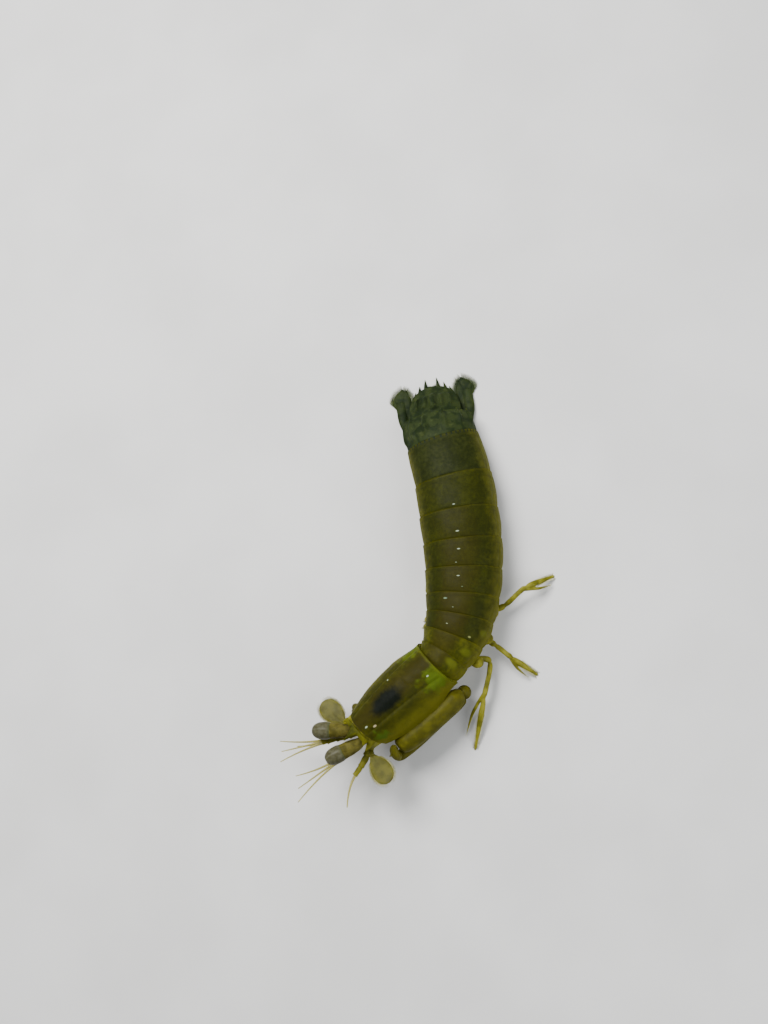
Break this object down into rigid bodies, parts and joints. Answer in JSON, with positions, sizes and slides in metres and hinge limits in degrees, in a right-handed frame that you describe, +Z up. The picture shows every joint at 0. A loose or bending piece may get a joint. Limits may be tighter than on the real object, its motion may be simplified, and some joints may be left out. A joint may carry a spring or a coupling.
{
  "type": "mantis shrimp",
  "caption": "A green smasher mantis shrimp standing on its walking legs and tail fan, body bent to one side, stalked eyes forward and clubbed claws folded",
  "frame": {"origin": "the middle of the footprint, on the floor", "axes": "+Z up; the body lies along Y with the tail towards +Y and the head towards -Y, turned to -X; the animal's left side is towards +X"},
  "size_m": [0.0554, 0.0888, 0.0144],
  "materials": {
    "shell": "wet olive green shell",
    "tail": "wet bluish green shell",
    "limb": "translucent yellow-olive",
    "cornea": "grey-green, glossy"
  },
  "bodies": {
    "root": {"carapace": "shell", "rostral_plate": "shell", "thorax_5": "shell", "thorax_6": "shell", "thorax_7": "shell", "thorax_8": "shell", "abdomen_1": "shell", "abdomen_2": "shell", "abdomen_3": "shell", "abdomen_4": "shell", "abdomen_5": "shell", "abdomen_6": "tail", "telson": "tail", "uropod_left": "tail", "uropod_right": "tail", "cornea_left": "cornea", "cornea_right": "cornea", "cephalon": "limb", "mouth": "limb", "eyestalk_left": "limb", "antennule_left": "limb", "antenna_left": "limb", "antennal_scale_left": "limb", "raptorial_merus_left": "limb", "raptorial_carpus_left": "limb", "raptorial_propodus_left": "limb", "raptorial_dactyl_left": "limb", "maxilliped_3_left": "limb", "maxilliped_4_left": "limb", "maxilliped_5_left": "limb", "leg_1_left": "limb", "leg_2_left": "limb", "leg_3_left": "limb", "pleopod_1_left": "limb", "pleopod_2_left": "limb", "pleopod_3_left": "limb", "pleopod_4_left": "limb", "pleopod_5_left": "limb", "eyestalk_right": "limb", "antennule_right": "limb", "antenna_right": "limb", "antennal_scale_right": "limb", "raptorial_merus_right": "limb", "raptorial_carpus_right": "limb", "raptorial_propodus_right": "limb", "raptorial_dactyl_right": "limb", "maxilliped_3_right": "limb", "maxilliped_4_right": "limb", "maxilliped_5_right": "limb", "leg_1_right": "limb", "leg_2_right": "limb", "leg_3_right": "limb", "pleopod_1_right": "limb", "pleopod_2_right": "limb", "pleopod_3_right": "limb", "pleopod_4_right": "limb", "pleopod_5_right": "limb"}
  },
  "joints": []
}
